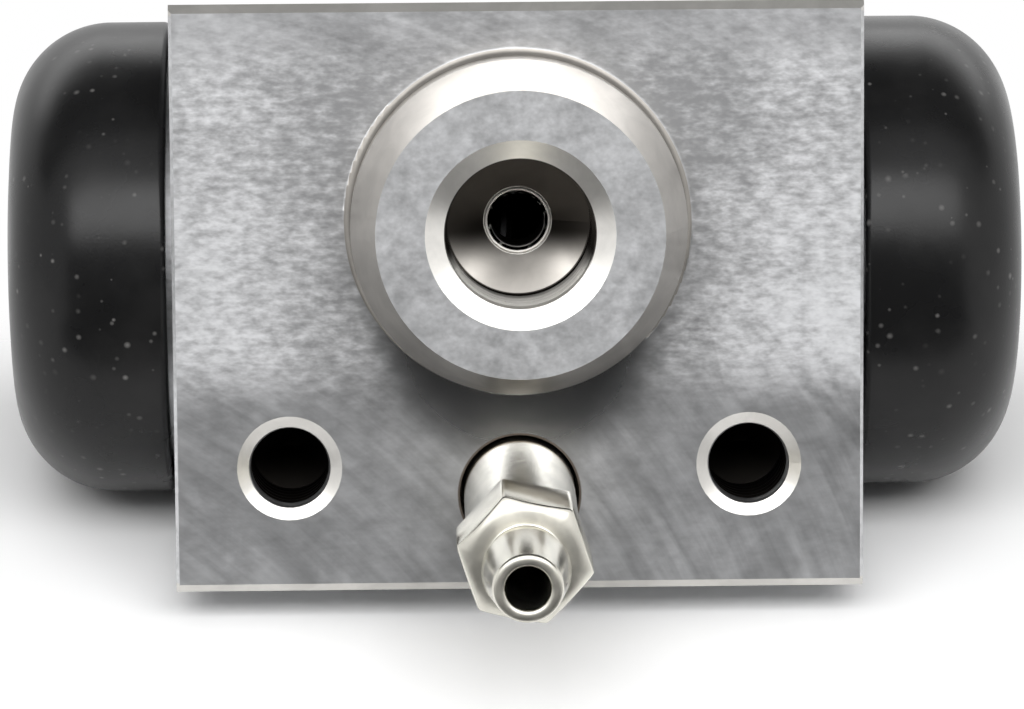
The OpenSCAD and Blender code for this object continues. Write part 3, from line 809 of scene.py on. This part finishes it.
class WHEELCYL_OT_stage(bpy.types.Operator):
    """Lays the pale floor, the soft light and the camera"""
    bl_idname = "wheelcyl.stage"
    bl_label = "Stage"
    card_away = -0.4

    def execute(self, context):
        settings = context.scene.wheel_cylinder_stage
        context.scene.view_settings.view_transform = "Standard"
        self.floor(settings)
        self.world(context, settings)
        self.softbox("softbox_key", settings.key_power, towards=(0, -0.86, 0.51), away=0.5, size=(0.9, 0.22))
        panel = self.softbox("softbox_panel", settings.panel_power, towards=(0, 0.7, 0.71), away=0.6,
                             size=(1.3, 0.22))
        panel.visible_diffuse = False
        top = self.softbox("softbox_top", settings.top_power, towards=(0, -0.36, 0.93), away=0.8,
                           size=(1.0, 1.0))
        top.visible_glossy = False
        self.card(settings)
        self.camera(context, settings)
        return {"FINISHED"}

    def level(self, settings, y):
        """Height of the sloping floor at a distance from the mounting face."""
        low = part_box("cylinder_body")[0][2]
        return low - settings.floor_gap + y * math.tan(settings.floor_slope)

    def floor(self, settings):
        half, fading_from, back = 400 * MM, 26 * MM, 40 * MM
        front = self.card_away
        points = [(x, y, self.level(settings, y))
                  for x, y in ((-half, front), (half, front), (half, back), (-half, back))]
        piece = add_mesh("stage_floor", points, [(0, 1, 2, 3)])
        material = bpy.data.materials.new("stage_white")
        material.use_nodes = True
        w = Wiring(material.node_tree)
        paint = w.put("BsdfDiffuse", {"Color": (0.97, 0.97, 0.97, 1)})
        clear = w.put("BsdfTransparent")
        behind = w.put("NewGeometry").outputs["Backfacing"]
        fading = w.step(w.apart(w.place_mm()[0])[1], fading_from / MM, back / MM)
        hidden = w.math("MAXIMUM", behind, fading)
        shown = w.put("MixShader", {0: hidden, 1: paint.outputs[0], 2: clear.outputs[0]})
        w.put("OutputMaterial", {"Surface": shown.outputs[0]})
        give(piece, material)

    def world(self, context, settings):
        world = bpy.data.worlds.new("stage_world")
        context.scene.world = world
        world.use_nodes = True
        w = Wiring(world.node_tree)
        path = w.put("LightPath").outputs
        seen = w.math("ADD", w.math("ADD", path["Is Camera Ray"], path["Is Glossy Ray"]),
                      path["Is Transmission Ray"], clamp=True)
        strength = w.math("ADD", settings.ambient, w.math("MULTIPLY", seen, 1 - settings.ambient))
        sky = w.put("Background", {"Color": (1, 1, 1, 1), "Strength": strength})
        w.put("OutputWorld", {"Surface": sky.outputs[0]})

    def softbox(self, name, power, towards, away, size):
        light = bpy.data.lights.new(name, "AREA")
        light.shape = "RECTANGLE"
        light.size, light.size_y = size
        light.energy = power
        lamp = bpy.data.objects.new(name, light)
        bpy.context.scene.collection.objects.link(lamp)
        direction = Vector(towards).normalized()
        lamp.location = Vector((0, 0, 10 * MM)) + away * direction
        lamp.rotation_euler = direction.to_track_quat("Z", "Y").to_euler()
        return lamp

    def card(self, settings):
        """Dark cards on the floor, behind the camera and overhead, which only gloss shows."""
        near, far, top = -20 * MM, self.card_away, 130 * MM
        over_front, over_back, over = -125 * MM, 170 * MM, 350 * MM
        slim, wide, broad = 70 * MM, 450 * MM, 800 * MM
        profile = [(slim, near, self.level(settings, near) + MM), (wide, far, self.level(settings, far) + MM),
                   (wide, far, top), (broad, over_front, over), (broad, over_back, over)]
        points = [(x, y, z) for half, y, z in profile for x in (-half, half)]
        piece = add_mesh("stage_cards", points, [(0, 1, 3, 2), (2, 3, 5, 4), (6, 7, 9, 8)])
        material = bpy.data.materials.new("stage_dark")
        material.use_nodes = True
        w = Wiring(material.node_tree)
        tone = settings.card_tone
        glow = w.put("Emission", {"Color": (tone, tone, tone, 1)})
        w.put("OutputMaterial", {"Surface": glow.outputs[0]})
        give(piece, material)
        piece.visible_camera = False
        piece.visible_diffuse = False
        piece.visible_shadow = False

    def camera(self, context, settings):
        yaw, pitch, roll = (math.radians(a) for a in (1.296, 8.286, -0.385))
        ahead = Vector((math.sin(yaw) * math.cos(pitch), math.cos(yaw) * math.cos(pitch), -math.sin(pitch)))
        right = Vector((math.cos(yaw), -math.sin(yaw), 0))
        up = right.cross(ahead)
        across = math.cos(roll) * right + math.sin(roll) * up
        upward = across.cross(ahead)
        place = Vector((-8.015, -336.186, 55.856)) * MM
        data = bpy.data.cameras.new("photo_camera")
        data.sensor_fit = "HORIZONTAL"
        data.sensor_width = 36
        data.lens = settings.lens
        data.clip_start = 0.01
        camera = bpy.data.objects.new("photo_camera", data)
        camera.matrix_world = Matrix((
            (across.x, upward.x, -ahead.x, place.x),
            (across.y, upward.y, -ahead.y, place.y),
            (across.z, upward.z, -ahead.z, place.z),
            (0, 0, 0, 1)))
        context.scene.collection.objects.link(camera)
        context.scene.camera = camera


OPERATORS = [
    WHEELCYL_OT_body, WHEELCYL_OT_boots, WHEELCYL_OT_bleed_screw, WHEELCYL_OT_inner_pieces,
    WHEELCYL_OT_spring, WHEELCYL_OT_threads, WHEELCYL_OT_stage]


class WHEELCYL_PT_panel(bpy.types.Panel):
    """Lists the pieces of the wheel cylinder and their sizes"""
    bl_idname = "WHEELCYL_PT_panel"
    bl_label = "Wheel cylinder"
    bl_space_type = "VIEW_3D"
    bl_region_type = "UI"
    bl_category = "Wheel cylinder"

    def draw(self, context):
        for operator in OPERATORS:
            self.layout.operator(operator.bl_idname)
        for name in SETTINGS:
            group = getattr(context.scene, name)
            box = self.layout.box()
            for key in group.__annotations__:
                box.prop(group, key)


SETTINGS = {
    "wheel_cylinder_boots": BootSizes,
    "wheel_cylinder_bleed_screw": BleedScrewSizes,
    "wheel_cylinder_finishes": Finishes,
    "wheel_cylinder_stage": StageSettings,
}
CLASSES = [*SETTINGS.values(), *OPERATORS, WHEELCYL_PT_panel]


def register():
    for cls in CLASSES:
        bpy.utils.register_class(cls)
    for name, cls in SETTINGS.items():
        setattr(bpy.types.Scene, name, bpy.props.PointerProperty(type=cls))


def unregister():
    for name in SETTINGS:
        delattr(bpy.types.Scene, name)
    for cls in reversed(CLASSES):
        bpy.utils.unregister_class(cls)


def main():
    register()
    GROUPS["streaks"] = make_streaks_group()
    GROUPS["clouds"] = make_clouds_group()
    GROUPS["specks"] = make_specks_group()
    bpy.ops.wheelcyl.stage()
    bpy.ops.wheelcyl.body()
    bpy.ops.wheelcyl.boots()
    bpy.ops.wheelcyl.bleed_screw()
    bpy.ops.wheelcyl.inner_pieces()
    bpy.ops.wheelcyl.spring()
    bpy.ops.wheelcyl.threads()


if __name__ == "__main__":
    main()
